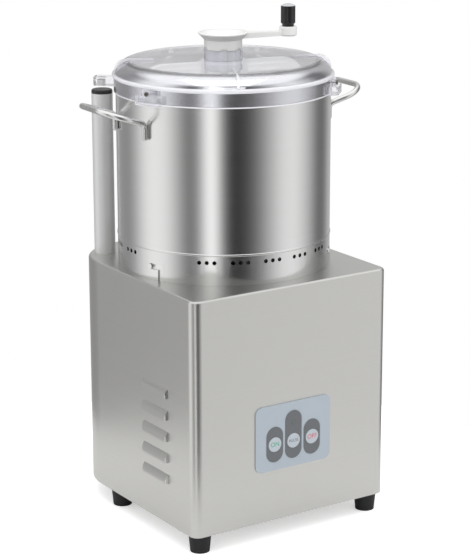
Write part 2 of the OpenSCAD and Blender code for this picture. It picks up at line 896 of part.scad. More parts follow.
module bearing(outer_d, bore_d, z) {
  color(bright_steel)
    translate([0, 0, z])
      rotate_extrude()
        difference() {
          translate([bore_d / 2 + run_gap, 0])
            square([(outer_d - bore_d) / 2 - run_gap, bearing_w]);
          for (y = [0, bearing_w])
            translate([(outer_d + bore_d) / 4, y]) circle(bearing_w / 8, $fn = small_fn);
        }
}

module shaft_seal() {
  color(rubber_black)
    ring(seal_d / 2, shaft_d / 2 + run_gap, top_z + spigot_h - seal_h, top_z + spigot_h);
}

module fan_cowl() {
  low = casing_z + end_bell_h - cowl_h;
  color(dark_steel)
    difference() {
      ring(motor_d / 2 + sheet, 0, low, casing_z + end_bell_h);
      translate([0, 0, low + sheet]) cylinder(h = cowl_h, d = motor_d);
      for (i = [0 : intake_count - 1])
        rotate([0, 0, i * 360 / intake_count])
          for (r = [fan_d / 5, fan_d / 3])
            translate([r, 0, low - cut])
              cylinder(h = sheet + 2 * cut, d = intake_d * (r < fan_d / 4 ? 0.6 : 1), $fn = small_fn);
    }
}

// Knives: levels above the bowl floor
knife_z = bowl_z + bowl_wall + hub_floor_gap;
eye_r = hub_d / 2 + eye_w;
shaft_top_z = knife_z + hub_h;
shaft_low_z = bell_z - fan_h - cowl_h / 4;
chimney_top_z = bowl_z + chimney_h;
hub_web_z = chimney_top_z + 2 * hub_floor_gap;
drive_pin_z = hub_web_z + drive_pin_d;

module motor_shaft() {
  color(bright_steel)
    difference() {
      union() {
        ring(shaft_d / 2, 0, casing_z, shaft_top_z);
        ring(journal_d / 2, 0, shaft_low_z, casing_z);
      }
      translate([0, 0, drive_pin_z])
        rotate([0, 90, 0]) cylinder(h = hub_d, d = drive_pin_d, center = true, $fn = small_fn);
    }
}

module rotor_core() {
  color(dark_steel) ring(stator_bore / 2 - 2 * free_gap, shaft_d / 2, core_z - fin_t, core_z + core_h + fin_t);
}

module cooling_fan() {
  fan_z = bell_z - fan_h - bearing_w / 3;
  color(plastic_black)
    difference() {
      union() {
        ring(fan_d / 6, 0, fan_z, fan_z + fan_h);
        ring(fan_d / 2, 0, fan_z + fan_h - fin_t, fan_z + fan_h);
        for (i = [0 : fan_blades - 1])
          rotate([0, 0, i * 360 / fan_blades])
            translate([0, -fin_t / 2, fan_z]) cube([fan_d / 2 - fin_t, fin_t, fan_h]);
      }
      translate([0, 0, fan_z - cut]) cylinder(h = fan_h + 2 * cut, d = journal_d);
    }
}

module drive_pin() {
  color(bright_steel)
    translate([0, 0, drive_pin_z])
      rotate([0, 90, 0])
        cylinder(h = hub_d - 2 * hub_wall, d = drive_pin_d, center = true, $fn = small_fn);
}

module knife_hub() {
  color(cast_alu)
    difference() {
      union() {
        ring(hub_d / 2, 0, knife_z, knife_z + hub_h);
        ring(eye_r, 0, knife_z, knife_z + blade_t);
      }
      translate([0, 0, knife_z - cut])
        cylinder(h = hub_web_z - knife_z + cut, d = hub_d - 2 * hub_wall);
      cylinder(h = knife_z + hub_h + cut, d = shaft_d);
      translate([0, 0, drive_pin_z])
        rotate([0, 90, 0])
          cylinder(h = hub_d - 2 * hub_wall, d = drive_pin_d, center = true, $fn = small_fn);
      translate([-hub_d / 2 + hub_wall, -drive_pin_d / 2, hub_web_z - cut])
        cube([hub_d - 2 * hub_wall, drive_pin_d, drive_pin_z - hub_web_z + cut]);
    }
}

// Sickle blade: the cutting edge is a cone about the edge's own centre
module blade(z, turn) {
  color(bright_steel)
    rotate([0, 0, turn])
      translate([0, 0, z])
        difference() {
          union() {
            cylinder(h = blade_t, r = eye_r);
            difference() {
              translate([edge_offset, 0, 0])
                cylinder(h = blade_t, r1 = edge_r, r2 = edge_r - bevel_w);
              translate([edge_offset, back_offset, -cut])
                cylinder(h = blade_t + 2 * cut, r = back_r);
            }
          }
          translate([0, 0, -cut]) cylinder(h = blade_t + 2 * cut, d = hub_d);
        }
}

lower_blade_z = knife_z + blade_t;
upper_blade_z = lower_blade_z + blade_pitch;

module blade_spacer() {
  color(cast_alu)
    ring(eye_r - eye_w / 3, hub_d / 2, lower_blade_z + blade_t, upper_blade_z);
}

module lock_knob() {
  low = upper_blade_z + blade_t;
  high = shaft_top_z + lock_knob_h;
  grip_z = shaft_top_z - lock_knob_h / 3;
  color(plastic_black)
    difference() {
      rotate_extrude()
        difference() {
          union() {
            translate([0, low]) square([eye_r - eye_w / 3, high - low]);
            translate([0, grip_z]) square([eye_r, high - grip_z - fold_r]);
            translate([0, grip_z]) square([eye_r - fold_r, high - grip_z]);
            translate([eye_r - fold_r, high - fold_r]) circle(fold_r);
          }
          translate([0, low - cut]) square([hub_d / 2, shaft_top_z - low + cut]);
        }
      for (i = [0 : lobe_count - 1])
        rotate([0, 0, i * 360 / lobe_count])
          translate([eye_r + lobe_d * 0.3, 0, grip_z]) cylinder(h = high, d = lobe_d);
    }
}

module locating_ring() {
  color(bright_steel)
    difference() {
      ring(ring_r, ring_r - locating_ring_t, top_z, top_z + locating_ring_h);
      at_pins() cylinder(h = bowl_r, d = pin_d, $fn = small_fn);
    }
}

// Radial places of the bayonet pins, pointing outwards
module at_pins() {
  for (i = [0 : pin_count - 1])
    rotate([0, 0, pin_at + i * pin_turn]) translate([0, 0, pin_z]) rotate([0, 90, 0]) children();
}

module bayonet_pins() {
  color(bright_steel)
    at_pins()
      translate([0, 0, ring_r - locating_ring_t])
        cylinder(h = locating_ring_t + run_gap + skirt_wall + pin_proud, d = pin_d, $fn = small_fn);
}

module sensor_post() {
  color(cast_alu)
    translate([-post_x, post_y, 0]) ring(post_d / 2, post_d / 2 - post_wall, top_z, top_z + post_h);
}

reed_d = 5;
reed_h = 20;
cap_spigot_h = 24;

module post_cap() {
  tube_top = top_z + post_h;
  color(plastic_black)
    translate([-post_x, post_y, tube_top])
      difference() {
        union() {
          ring(post_d / 2, 0, 0, post_cap_h - post_cap_r);
          translate([0, 0, post_cap_h - post_cap_r])
            rotate_extrude() {
              square([post_d / 2 - post_cap_r, post_cap_r]);
              translate([post_d / 2 - post_cap_r, 0]) quarter_ring(post_cap_r, 0);
            }
          ring(post_d / 2 - post_wall, 0, -cap_spigot_h, 0);
        }
        translate([0, 0, -cap_spigot_h - cut]) cylinder(h = reed_h + cut, d = reed_d, $fn = small_fn);
      }
}

module reed_switch() {
  color(plastic_white)
    translate([-post_x, post_y, top_z + post_h - cap_spigot_h])
      cylinder(h = reed_h, d = reed_d, $fn = small_fn);
}

shoulder_z = rim_z - rim_r;

module bowl_shell() {
  color(steel) ring(bowl_r, bowl_r - bowl_wall, bowl_z, shoulder_z);
}

// Section of the polished rim: inward shoulder, curl and lip
module bowl_rim_section() {
  shoulder_x = bowl_r - rim_r;
  translate([shoulder_x, shoulder_z]) quarter_ring(rim_r, rim_r - bowl_wall);
  translate([shoulder_x, rim_z - curl_r])
    mirror([1, 0]) quarter_ring(curl_r, curl_r - bowl_wall);
  translate([shoulder_x - curl_r, rim_z - lip_h]) square([bowl_wall, lip_h - curl_r]);
}

module bowl_rim() {
  color(bright_steel) rotate_extrude() bowl_rim_section();
}

chimney_r = chimney_d / 2 + bowl_wall;

// Floor welded between wall and chimney
module bowl_floor() {
  color(steel) ring(bowl_r - bowl_wall, chimney_r, bowl_z, bowl_z + bowl_wall);
}

// Tube round the drive, above the reach of a wet bowl floor
module bowl_chimney() {
  color(steel) ring(chimney_r, chimney_d / 2, bowl_z, chimney_top_z);
}

// Bayonet slot in the plane: closed end on the left, entry leg on the right
module bayonet_outline() {
  half = (skirt_bore_r + skirt_wall / 2) * sin(slot_turn / 2);
  translate([-half, pin_z]) circle(slot_w / 2, $fn = small_fn);
  translate([half, pin_z]) circle(slot_w / 2, $fn = small_fn);
  translate([-half, pin_z - slot_w / 2]) square([2 * half, slot_w]);
  translate([half - slot_w / 2, top_z - cut]) square([slot_w, pin_h + cut]);
}

module bowl_skirt() {
  color(steel)
    difference() {
      rotate_extrude() {
        translate([skirt_bore_r, top_z + seat_gap])
          square([skirt_wall, bowl_floor_h - seat_gap - bead_d / 2]);
        translate([skirt_bore_r - 3 * bead_d, bowl_z - skirt_wall])
          square([3 * bead_d + skirt_wall, skirt_wall]);
        translate([bowl_r - bead_d / 4, bowl_z - bead_d / 2]) circle(bead_d / 2);
      }
      for (i = [0 : pin_count - 1]) {
        rotate([0, 0, pin_at + i * pin_turn + slot_turn / 2])
          translate([skirt_bore_r - skirt_wall, 0, 0])
            rotate([90, 0, 90]) linear_extrude(3 * skirt_wall) bayonet_outline();
        for (group = [0 : vent_groups - 1], hole = [-1 : 1])
          rotate([0, 0, pin_at + i * pin_turn + vent_first + group * vent_group_turn + hole * vent_turn])
            translate([skirt_bore_r - skirt_wall, 0, top_z + vent_h])
              rotate([0, 90, 0]) cylinder(h = 3 * skirt_wall, d = vent_d, $fn = small_fn);
      }
    }
}

// Handle: bent rod of two legs and a bow that rises outwards
handle_z = rim_z - handle_drop;
leg_r = bowl_r + rod_d / 2;
leg_x = sqrt(leg_r * leg_r - handle_half * handle_half);
flare = atan2(bow_half - handle_half, bow_reach);
flare_len = norm([bow_half - handle_half, bow_reach]);
corner_cut = bow_r * tan((90 + flare) / 2);
first_rise = asin(cos(flare) * sin(bow_rise));
first_at = atan2(sin(flare), cos(flare) * cos(bow_rise));
bend_turn = 90 - first_rise;
bend_cut = bend_r * tan(bend_turn / 2);
// Weld beads that join the stretches of a rod stand out by this share of its diameter
bead_share = 1.005;

module rod_bead() {
  sphere(d = rod_d * bead_share);
}

// One side of a handle: leg, bend, flared stretch and rounded corner
module handle_half_rod() {
  translate([leg_x, handle_half, handle_z - handle_leg])
    cylinder(h = handle_leg - bend_cut, d = rod_d);
  translate([leg_x, handle_half, handle_z])
    rotate([0, 0, first_at]) {
      translate([bend_r, 0, -bend_cut])
        rotate([90, 0, 0])
          rotate_extrude(angle = bend_turn, start = 180 - bend_turn)
            translate([bend_r, 0]) circle(d = rod_d);
      translate([0, 0, -bend_cut]) rod_bead();
      rotate([0, 90 - first_rise, 0]) {
        translate([0, 0, bend_cut])
          cylinder(h = flare_len - corner_cut - bend_cut, d = rod_d);
        translate([0, 0, bend_cut]) rod_bead();
        translate([0, 0, flare_len - corner_cut]) rod_bead();
      }
    }
  translate([leg_x, 0, handle_z])
    rotate([0, -bow_rise, 0]) {
      translate([bow_reach - bow_r, bow_half - corner_cut, 0])
        rotate_extrude(angle = 90 + flare) translate([bow_r, 0]) circle(d = rod_d);
      translate([bow_reach, bow_half - corner_cut, 0]) rod_bead();
    }
}

module handle(turn) {
  color(bright_steel)
    rotate([0, 0, turn])
      difference() {
        union() {
          handle_half_rod();
          mirror([0, 1, 0]) handle_half_rod();
          translate([leg_x, 0, handle_z])
            rotate([0, -bow_rise, 0])
              translate([bow_reach, 0, 0])
                rotate([90, 0, 0])
                  cylinder(h = 2 * (bow_half - corner_cut), d = rod_d, center = true);
        }
        translate([0, 0, top_z]) cylinder(h = bowl_rim_h, r = bowl_r);
      }
}

// Section of the lid as a solid cover, and of the space under it
module lid_outer_section(inset) {
  shoulder_x = lid_r - lid_shoulder_r;
  shoulder_z = lid_z - lid_shoulder_r;
  translate([0, lid_edge_z]) square([lid_r - inset, shoulder_z - lid_edge_z]);
  translate([0, lid_edge_z]) square([shoulder_x, lid_depth - inset]);
  translate([shoulder_x, shoulder_z])
    intersection() {
      circle(lid_shoulder_r - inset);
      square(lid_shoulder_r);
    }
}

module lid_inner_section() {
  inner_r = lid_inner_shoulder_r;
  shoulder_x = lid_bore_r - inner_r;
  shoulder_z = lid_under_z - inner_r;
  translate([0, lid_edge_z - cut]) square([lid_bore_r, shoulder_z - lid_edge_z + cut]);
  translate([0, lid_edge_z - cut]) square([shoulder_x, lid_under_z - lid_edge_z + cut]);
  translate([shoulder_x, shoulder_z])
    intersection() {
      circle(inner_r);
      square(inner_r);
    }
}

// Stiffening fin in section, standing on the lid's shoulder
module lid_fin_section() {
  fin_top = lid_z + lid_fin_h;
  arc_x = lid_r - free_gap - lid_fin_r;
  arc_z = fin_top - lid_fin_r;
  bead_z = lid_z - lid_bead_drop;
  difference() {
    union() {
      translate([lid_fin_from + lid_fin_h, lid_z - lid_t / 2])
        square([arc_x - lid_fin_from - lid_fin_h, lid_fin_h + lid_t / 2]);
      translate([lid_fin_from + lid_fin_h, lid_z]) mirror([1, 0]) quarter_ring(lid_fin_h, 0);
      translate([arc_x, arc_z])
        intersection() {
          circle(lid_fin_r);
          square(lid_fin_r);
        }
      translate([arc_x, bead_z]) square([lid_fin_r, arc_z - bead_z]);
    }
    lid_outer_section(lid_t / 4);
  }
}

module lid() {
  color(clear) {
    difference() {
      rotate_extrude()
        difference() {
          union() {
            lid_outer_section(0);
            translate([lid_r - 2 * free_gap, lid_z - lid_bead_drop]) circle(lid_bead_d / 2);
          }
          lid_inner_section();
          translate([0, lid_edge_z]) square([collar_bore / 2, lid_depth + cut]);
        }
      at_catches() translate([0, 0, catch_screw_z])
        rotate([0, 90, 0]) cylinder(h = bowl_r + lid_r, d = catch_screw_d / 2, $fn = small_fn);
    }
    for (i = [0 : lid_fin_count - 1])
      rotate([0, 0, lid_fin_at + i * 360 / lid_fin_count])
        rotate([90, 0, 0])
          linear_extrude(lid_fin_t, center = true) lid_fin_section();
  }
}

// Ring that guides the feed tube, bonded on the lid
module lid_collar() {
  color(clear) ring(collar_d / 2, collar_bore / 2, lid_z, collar_z);
}

catch_low_z = lid_edge_z - free_gap * 2;
catch_mid_z = catch_low_z + catch_lower_h;
catch_screw_z = catch_mid_z + catch_upper_h * 0.4;

module at_catches() {
  rotate([0, 0, catch_left_at]) children();
  rotate([0, 0, catch_right_at]) children();
  rotate([0, 0, catch_rear_at]) children();
}

// Block on the lid's skirt with its outer corners rounded, pointing along X
module skirt_block(width, out, low, height) {
  translate([0, 0, low])
    difference() {
      linear_extrude(height)
        rotate([0, 0, -90]) soft_rect(width, out, catch_corner_r);
      translate([0, 0, -cut]) cylinder(h = height + 2 * cut, r = lid_r);
    }
}

module lid_catches() {
  color(clear)
    at_catches()
      difference() {
        union() {
          skirt_block(catch_upper_w, catch_upper_out, catch_mid_z, catch_upper_h);
          skirt_block(catch_lower_w, catch_lower_out, catch_low_z, catch_lower_h);
        }
        translate([0, 0, catch_screw_z])
          rotate([0, 90, 0]) cylinder(h = bowl_r + lid_r, d = catch_screw_d / 2, $fn = small_fn);
      }
}

module catch_screws() {
  head_h = catch_screw_d / 3;
  color(bright_steel)
    at_catches()
      translate([0, 0, catch_screw_z])
        rotate([0, 90, 0]) {
          translate([0, 0, lid_bore_r])
            cylinder(h = catch_upper_out - lid_bore_r, d = catch_screw_d / 2, $fn = small_fn);
          translate([0, 0, catch_upper_out])
            difference() {
              cylinder(h = head_h, d = catch_screw_d, $fn = small_fn);
              translate([0, 0, head_h / 2])
                cylinder(h = head_h, d = catch_screw_d / 2, $fn = 6);
            }
        }
}

magnet_at = atan2(post_y, -post_x);
magnet_r = norm([post_x, post_y]);

module magnet_block() {
  color(clear)
    rotate([0, 0, magnet_at])
      difference() {
        skirt_block(magnet_block_w, magnet_block_out, lid_edge_z, magnet_block_h);
        translate([magnet_r, 0, lid_edge_z - cut]) cylinder(h = magnet_h + cut, d = magnet_d);
      }
}

module lid_magnet() {
  color(dark_steel)
    rotate([0, 0, magnet_at])
      translate([magnet_r, 0, lid_edge_z]) cylinder(h = magnet_h, d = magnet_d);
}

// Feed tube: runs in the lid's collar and joins scraper hub and crank head
tube_top_z = collar_z + neck_h - free_gap;
tube_low_z = lid_z - tube_drop;

module feed_tube() {
  color(plastic_milk)
    difference() {
      ring(tube_r, tube_bore / 2, tube_low_z, tube_top_z);
      for (i = [0 : finger_count - 1], side = [-1, 1])
        rotate([0, 0, crank_at + finger_at - crank_at + i * finger_step + side * finger_turn / 2])
          translate([tube_bore / 4, -slit_w / 2, lid_under_z])
            cube([tube_r, slit_w, collar_z + notch_h - lid_under_z]);
    }
}

hub_top_z = lid_under_z - free_gap;

module scraper_hub() {
  r = scraper_hub_d / 2;
  color(plastic_milk)
    rotate_extrude()
      polygon([
        [tube_r, tube_low_z], [r, tube_low_z], [r, hub_top_z - hub_chamfer],
        [r - hub_chamfer, hub_top_z], [tube_r, hub_top_z]
      ]);
}

arm_top_z = hub_top_z - seat_gap * 20;

// Band of an arm between two depths below its outer contour: beam, corner and upright
module arm_band(near, far) {
  corner_x = arm_out - arm_corner_r;
  corner_z = arm_top_z - arm_corner_r;
  translate([0, arm_top_z - far]) square([corner_x, far - near]);
  translate([corner_x, corner_z]) quarter_ring(arm_corner_r - near, arm_corner_r - far);
  translate([arm_out - far, arm_top_z - arm_leg_h]) square([far - near, arm_leg_h - arm_corner_r]);
}

module scraper_arms() {
  color(plastic_white)
    for (turn = [0, 180])
      rotate([0, 0, arm_at + turn])
        difference() {
          rotate([90, 0, 0]) {
            linear_extrude(arm_web_t, center = true) arm_band(arm_rib_h / 2, arm_h - arm_rib_h / 2);
            linear_extrude(arm_rib_w, center = true) {
              arm_band(0, arm_rib_h);
              arm_band((arm_h - arm_rib_h) / 2, (arm_h + arm_rib_h) / 2);
              arm_band(arm_h - arm_rib_h, arm_h);
            }
          }
          cylinder(h = lid_z, d = scraper_hub_d);
        }
}

module wiper_strips() {
  color(plastic_milk)
    for (turn = [0, 180])
      rotate([0, 0, arm_at + turn])
        translate([arm_out, -wiper_w / 2, arm_top_z - arm_leg_h])
          cube([wiper_t, wiper_w, wiper_h]);
}

// Crank head: funnel, neck and arm in one moulding
funnel_z = lid_z + funnel_h;
neck_z = collar_z + seat_gap;
neck_top_z = collar_z + neck_h;
boss_z = lid_z + boss_end_z;

module funnel_section() {
  rim_r = funnel_rim_d / 2;
  rim_x = funnel_d / 2 - rim_r;
  rim_y = funnel_z - rim_r;
  translate([rim_x, rim_y]) circle(rim_r, $fn = small_fn);
  polygon([
    [tube_r, neck_z], [neck_d / 2, neck_z], [neck_d / 2, neck_top_z],
    [rim_x + rim_r * cos(-40), rim_y + rim_r * sin(-40)],
    [rim_x, rim_y + rim_r * 0.9], [rim_x - rim_r * 0.9, rim_y],
    [tube_bore / 2, neck_top_z], [tube_r, neck_top_z - free_gap]
  ]);
}

// Side view of the crank arm, thinner towards its boss
module crank_side() {
  arm_top = funnel_z - funnel_rim_d / 4;
  polygon([
    [neck_d / 2 - fin_t, arm_top], [crank_r, arm_top],
    [crank_r, arm_top - arm_tip_t], [neck_d / 2 - fin_t, arm_top - arm_root_t]
  ]);
}

module crank_head() {
  color(plastic_white)
    difference() {
      union() {
        rotate_extrude() funnel_section();
        rotate([0, 0, crank_at]) {
          difference() {
            intersection() {
              rotate([90, 0, 0]) linear_extrude(arm_root_w, center = true) crank_side();
              translate([0, 0, neck_z])
                linear_extrude(funnel_h)
                  polygon([
                    [0, -arm_root_w / 2], [crank_r, -arm_tip_w / 2],
                    [crank_r, arm_tip_w / 2], [0, arm_root_w / 2]
                  ]);
            }
            translate([0, 0, neck_top_z])
              cylinder(h = funnel_z - neck_top_z, r1 = tube_bore / 2 + fin_t / 2, r2 = funnel_d / 2 - fin_t / 2);
          }
          translate([crank_r, 0, boss_z])
            rotate_extrude() crank_boss_section();
        }
      }
      for (i = [0 : finger_count - 1], side = [-1, 1])
        rotate([0, 0, finger_at + i * finger_step + side * (finger_turn / 2 + notch_half_turn)])
          translate([tube_r, -notch_w / 2, neck_z - cut])
            cube([neck_d, notch_w, notch_h + cut]);
      rotate([0, 0, crank_at])
        translate([crank_r, 0, boss_z - cut])
          cylinder(h = boss_end_h + 2 * cut, d = crank_pin_d);
    }
}

notch_half_turn = asin(notch_w / neck_d);

// Half section of the boss with softened edges
module crank_boss_section() {
  soft = fin_t / 2;
  r = boss_end_d / 2;
  polygon([
    [0, 0], [r - soft, 0], [r, soft], [r, boss_end_h - soft / 2],
    [r - soft / 2, boss_end_h], [0, boss_end_h]
  ]);
}

// Knob on the crank pin
knob_z = boss_z + boss_end_h + seat_gap;
knob_top_z = knob_z + knob_h;
cap_z = knob_top_z - knob_cap_h;
pin_head_h = 2;
pin_head_d = crank_pin_d * 1.5;
pin_head_z = cap_z - 2 * pin_head_h;

module crank_pin() {
  color(bright_steel)
    rotate([0, 0, crank_at])
      translate([crank_r, 0, 0]) {
        ring(crank_pin_d / 2, 0, boss_z, pin_head_z);
        ring(pin_head_d / 2, 0, pin_head_z, pin_head_z + pin_head_h);
      }
}

module knob_grip() {
  r = knob_d / 2;
  neck_r = r * 0.8;
  color(plastic_black)
    rotate([0, 0, crank_at])
      translate([crank_r, 0, 0])
        difference() {
          union() {
            ring(neck_r, 0, knob_z, knob_z + knob_neck_h);
            translate([0, 0, knob_z + knob_neck_h]) cylinder(h = knob_neck_h, r1 = neck_r, r2 = r);
            ring(r, 0, knob_z + 2 * knob_neck_h, cap_z);
          }
          translate([0, 0, knob_z - cut]) cylinder(h = knob_h, r = crank_pin_d / 2 + run_gap);
          translate([0, 0, pin_head_z - free_gap])
            cylinder(h = cap_z, r = pin_head_d / 2 + free_gap);
        }
}

module knob_cap() {
  r = knob_d / 2;
  dome_r = (r * r + knob_cap_h * knob_cap_h) / (2 * knob_cap_h);
  color([0.78, 0.79, 0.80])
    rotate([0, 0, crank_at])
      translate([crank_r, 0, cap_z])
        rotate_extrude()
          intersection() {
            translate([0, knob_cap_h - dome_r]) circle(dome_r);
            square([r, knob_cap_h]);
          }
}

housing();
base_plate();
foot(-foot_x, -foot_front_y);  // foot_front_left
foot(foot_x, -foot_front_y);  // foot_front_right
foot(-foot_x, foot_rear_y);  // foot_rear_left
foot(foot_x, foot_rear_y);  // foot_rear_right
union() {  // base_screws
  foot_screws();
  flange_screws();
}
control_panel();
key_bezels();
key(-key_pitch);  // key_on
key(0);  // key_pulse
key(key_pitch);  // key_off
signal_lamp();
control_board();
key_switches();
run_capacitor();
cable_gland();
motor_flange();
motor_casing();
motor_end_bell();
stator_core();
stator_windings();
union() {  // shaft_bearings
  bearing(upper_bearing_d, shaft_d, upper_bearing_z);
  bearing(lower_bearing_d, journal_d, bell_z);
}
shaft_seal();
fan_cowl();
motor_shaft();
rotor_core();
cooling_fan();
drive_pin();
knife_hub();
blade(lower_blade_z, 0);  // lower_blade
blade_spacer();
blade(upper_blade_z, 180);  // upper_blade
lock_knob();
locating_ring();
bayonet_pins();
sensor_post();
post_cap();
reed_switch();
bowl_shell();
bowl_rim();
bowl_floor();
bowl_chimney();
bowl_skirt();
handle(180 + handle_at);  // handle_left
handle(handle_at);  // handle_right
lid();
lid_collar();
lid_catches();
catch_screws();
magnet_block();
lid_magnet();
feed_tube();
scraper_hub();
scraper_arms();
wiper_strips();
crank_head();
crank_pin();
knob_grip();
knob_cap();
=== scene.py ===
"""Looks of the vertical bowl food cutter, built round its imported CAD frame. Metres throughout."""

import json
import math

import bmesh
import bpy
from mathutils import Matrix, Vector


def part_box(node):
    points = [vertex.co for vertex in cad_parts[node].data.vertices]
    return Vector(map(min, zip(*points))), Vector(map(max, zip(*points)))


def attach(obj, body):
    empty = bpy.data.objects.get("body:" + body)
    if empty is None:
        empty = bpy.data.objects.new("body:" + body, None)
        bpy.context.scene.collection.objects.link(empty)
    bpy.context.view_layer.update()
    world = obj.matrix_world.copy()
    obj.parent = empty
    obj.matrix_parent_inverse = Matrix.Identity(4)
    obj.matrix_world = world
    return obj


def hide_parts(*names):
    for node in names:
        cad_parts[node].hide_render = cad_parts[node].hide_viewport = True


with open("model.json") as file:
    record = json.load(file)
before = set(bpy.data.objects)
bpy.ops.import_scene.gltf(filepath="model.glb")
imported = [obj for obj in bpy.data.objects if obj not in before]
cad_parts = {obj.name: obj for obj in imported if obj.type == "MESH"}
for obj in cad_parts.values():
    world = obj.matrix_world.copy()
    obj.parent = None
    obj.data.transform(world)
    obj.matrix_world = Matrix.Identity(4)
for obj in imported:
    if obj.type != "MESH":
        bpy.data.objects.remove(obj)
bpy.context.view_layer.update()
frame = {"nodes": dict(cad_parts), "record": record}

# Camera of the photograph, found from the machine's own edges
CAMERA_PLACE = Vector((-1.5163, -2.3290, 1.0912))
CAMERA_AIM = Vector((0.0131, -0.0086, 0.3302))
CAMERA_ROLL = math.radians(-0.127)
CAMERA_LENS = 130.34
SENSOR_WIDTH = 36


def turn_towards(place, aim):
    """Rotation of a camera or lamp that stands at place and looks at aim."""
    return (aim - place).to_track_quat("-Z", "Y")


def make_camera():
    data = bpy.data.cameras.new("camera")
    data.lens = CAMERA_LENS
    data.sensor_width = SENSOR_WIDTH
    camera = bpy.data.objects.new("camera", data)
    bpy.context.scene.collection.objects.link(camera)
    camera.location = CAMERA_PLACE
    look = turn_towards(CAMERA_PLACE, CAMERA_AIM).to_matrix().to_4x4()
    camera.rotation_euler = (look @ Matrix.Rotation(CAMERA_ROLL, 4, "Z")).to_euler()
    bpy.context.scene.camera = camera


make_camera()
bpy.context.scene.view_settings.view_transform = "Standard"

WHITE = (1, 1, 1, 1)

# Small helpers for shader nodes


def add(tree, kind, **settings):
    """New node with its properties set."""
    node = tree.nodes.new(kind)
    for name, value in settings.items():
        setattr(node, name, value)
    return node


def feed(tree, socket, value):
    """Links another node's output to a socket, or gives the socket a constant."""
    if isinstance(value, bpy.types.NodeSocket):
        tree.links.new(value, socket)
    else:
        socket.default_value = value


def math_node(tree, operation, first, second=0.0):
    node = add(tree, "ShaderNodeMath", operation=operation)
    feed(tree, node.inputs[0], first)
    feed(tree, node.inputs[1], second)
    return node.outputs[0]


def map_range(tree, value, source, target=(0.0, 1.0), interpolation="LINEAR"):
    """Output that runs over target while value runs over source."""
    node = add(tree, "ShaderNodeMapRange", interpolation_type=interpolation)
    tree.links.new(value, node.inputs[0])
    for place, number in enumerate((*source, *target), start=1):
        node.inputs[place].default_value = number
    return node.outputs[0]


def noise(tree, vector, scale, detail=2.0):
    node = add(tree, "ShaderNodeTexNoise")
    tree.links.new(vector, node.inputs["Vector"])
    feed(tree, node.inputs["Scale"], scale)
    node.inputs["Detail"].default_value = detail
    return node.outputs[0]


def mix_shaders(tree, share, first, second):
    node = add(tree, "ShaderNodeMixShader")
    for socket, output in zip(node.inputs, (share, first, second)):
        tree.links.new(output, socket)
    return node.outputs[0]


def new_group(name, inputs, outputs):
    """Shader node group with (name, kind, default) inputs and named float outputs."""
    tree = bpy.data.node_groups.new(name, "ShaderNodeTree")
    for label, kind, value in inputs:
        socket = tree.interface.new_socket(label, in_out="INPUT", socket_type=kind)
        socket.default_value = value
    for label in outputs:
        tree.interface.new_socket(label, in_out="OUTPUT", socket_type="NodeSocketFloat")
    return tree, tree.nodes.new("NodeGroupInput"), tree.nodes.new("NodeGroupOutput")


def object_place(tree):
    return add(tree, "ShaderNodeTexCoord").outputs["Object"]


def centred_tone(tree, value, contrast):
    """Noise spread about a half by contrast."""
    centred = math_node(tree, "SUBTRACT", value, 0.5)
    return math_node(tree, "ADD", math_node(tree, "MULTIPLY", centred, contrast), 0.5)


# Brushed metal's tone: share and scale of its fine lines and of the slow cloud over them
LINE_SHARE = 0.7
LINE_DETAIL = 4.0
CLOUD_SHARE = 0.3
METAL_CLOUD_SCALE = 9.0
METAL_CLOUD_DETAIL = 3.0
PLASTIC_CLOUD_SCALE = 25.0


def make_grain_group():
    """Fine parallel brush lines: stretched noise in two scales, as tone and height."""
    inputs = [("Lines", "NodeSocketVector", (3, 3, 900)), ("Contrast", "NodeSocketFloat", 0.5)]
    tree, inp, out = new_group("brush_grain", inputs, ("Tone", "Height"))
    place = object_place(tree)
    stretch = add(tree, "ShaderNodeVectorMath", operation="MULTIPLY")
    tree.links.new(place, stretch.inputs[0])
    tree.links.new(inp.outputs["Lines"], stretch.inputs[1])
    lines = noise(tree, stretch.outputs[0], 1.0, LINE_DETAIL)
    cloud = noise(tree, place, METAL_CLOUD_SCALE, METAL_CLOUD_DETAIL)
    both = math_node(tree, "ADD", math_node(tree, "MULTIPLY", lines, LINE_SHARE),
                     math_node(tree, "MULTIPLY", cloud, CLOUD_SHARE))
    tree.links.new(centred_tone(tree, both, inp.outputs["Contrast"]), out.inputs["Tone"])
    tree.links.new(lines, out.inputs["Height"])
    return tree


def make_mould_group():
    """Moulded plastic: faint cloudy tone and a pebbled height."""
    inputs = [("Size", "NodeSocketFloat", 400.0), ("Contrast", "NodeSocketFloat", 0.2)]
    tree, inp, out = new_group("mould_skin", inputs, ("Tone", "Height"))
    place = object_place(tree)
    pebble = noise(tree, place, inp.outputs["Size"])
    cloud = noise(tree, place, PLASTIC_CLOUD_SCALE)
    tree.links.new(centred_tone(tree, cloud, inp.outputs["Contrast"]), out.inputs["Tone"])
    tree.links.new(pebble, out.inputs["Height"])
    return tree


# Share of the lid's clearness that is lost on its bead and edge, fins, flat top and elsewhere,
# half the height of the bead and edge bands, and how far a fin stands proud at least.
# On the bead, edge, fins and top the lost clearness is painted sheen: milky white that stands in
# for highlights and reflections of the bright room. The faint share elsewhere is the plastic's own haze
EDGE_PAINTED_SHEEN = 0.52
FIN_PAINTED_SHEEN = 0.30
TOP_PAINTED_SHEEN = 0.14
CLEAR_MILK = 0.02
BEAD_HALF = 0.0027
EDGE_HALF = 0.0016
FIN_PROUD = 0.0004


